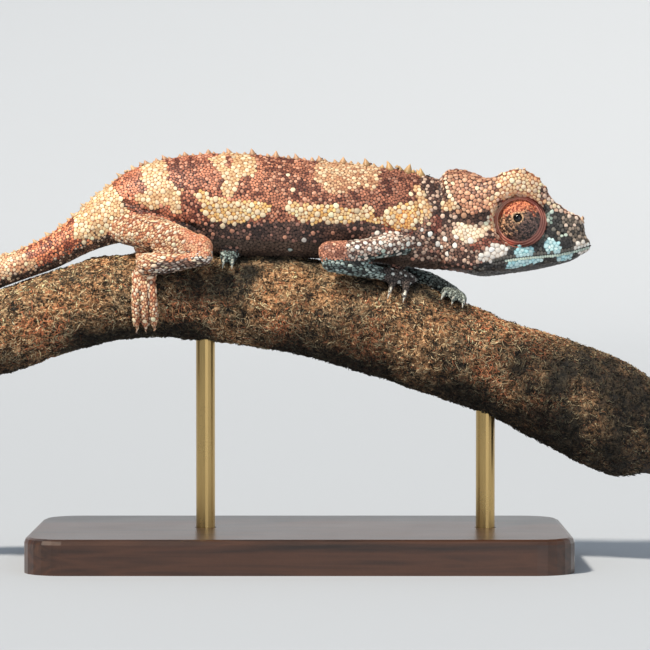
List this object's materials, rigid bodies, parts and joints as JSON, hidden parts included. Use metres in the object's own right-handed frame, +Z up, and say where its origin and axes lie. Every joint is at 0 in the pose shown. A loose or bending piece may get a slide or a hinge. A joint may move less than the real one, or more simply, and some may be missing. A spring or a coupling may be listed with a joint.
{
  "type": "jacksons chameleon",
  "caption": "Life-size still model of a hornless Jackson's chameleon walking on a cut branch, with crest, casque, turret eyes and coiled tail, on a plain display stand.",
  "frame": {"origin": "the middle of the stand base's flat underside, on the floor", "axes": "+X along the branch and the animal, towards its snout; +Y to its left; +Z up"},
  "size_m": [0.191, 0.066, 0.096],
  "materials": {
    "skin": "dry granular scales, brown red with cream and orange patches",
    "lid": "fine scaled fused eyelid, orange red over dark brown",
    "eye": "wet black",
    "bark": "rough fibrous bark",
    "stand_wood": "dark satin lacquer",
    "stand_rod": "satin"
  },
  "bodies": {
    "root": {"eye_turret_left": "lid", "eye_turret_right": "lid", "eyeball_left": "eye", "eyeball_right": "eye", "foot_left": "skin", "foot_right": "skin", "forearm_left": "skin", "forearm_right": "skin", "hand_left": "skin", "hand_right": "skin", "head": "skin", "lower_jaw": "skin", "neck": "skin", "perch_branch": "bark", "shin_left": "skin", "shin_right": "skin", "stand_base": "stand_wood", "stand_rod_1": "stand_rod", "stand_rod_2": "stand_rod", "tail_base": "skin", "tail_fourth": "skin", "tail_second": "skin", "tail_third": "skin", "tail_tip": "skin", "thigh_left": "skin", "thigh_right": "skin", "torso": "skin", "upper_arm_left": "skin", "upper_arm_right": "skin"}
  },
  "joints": []
}
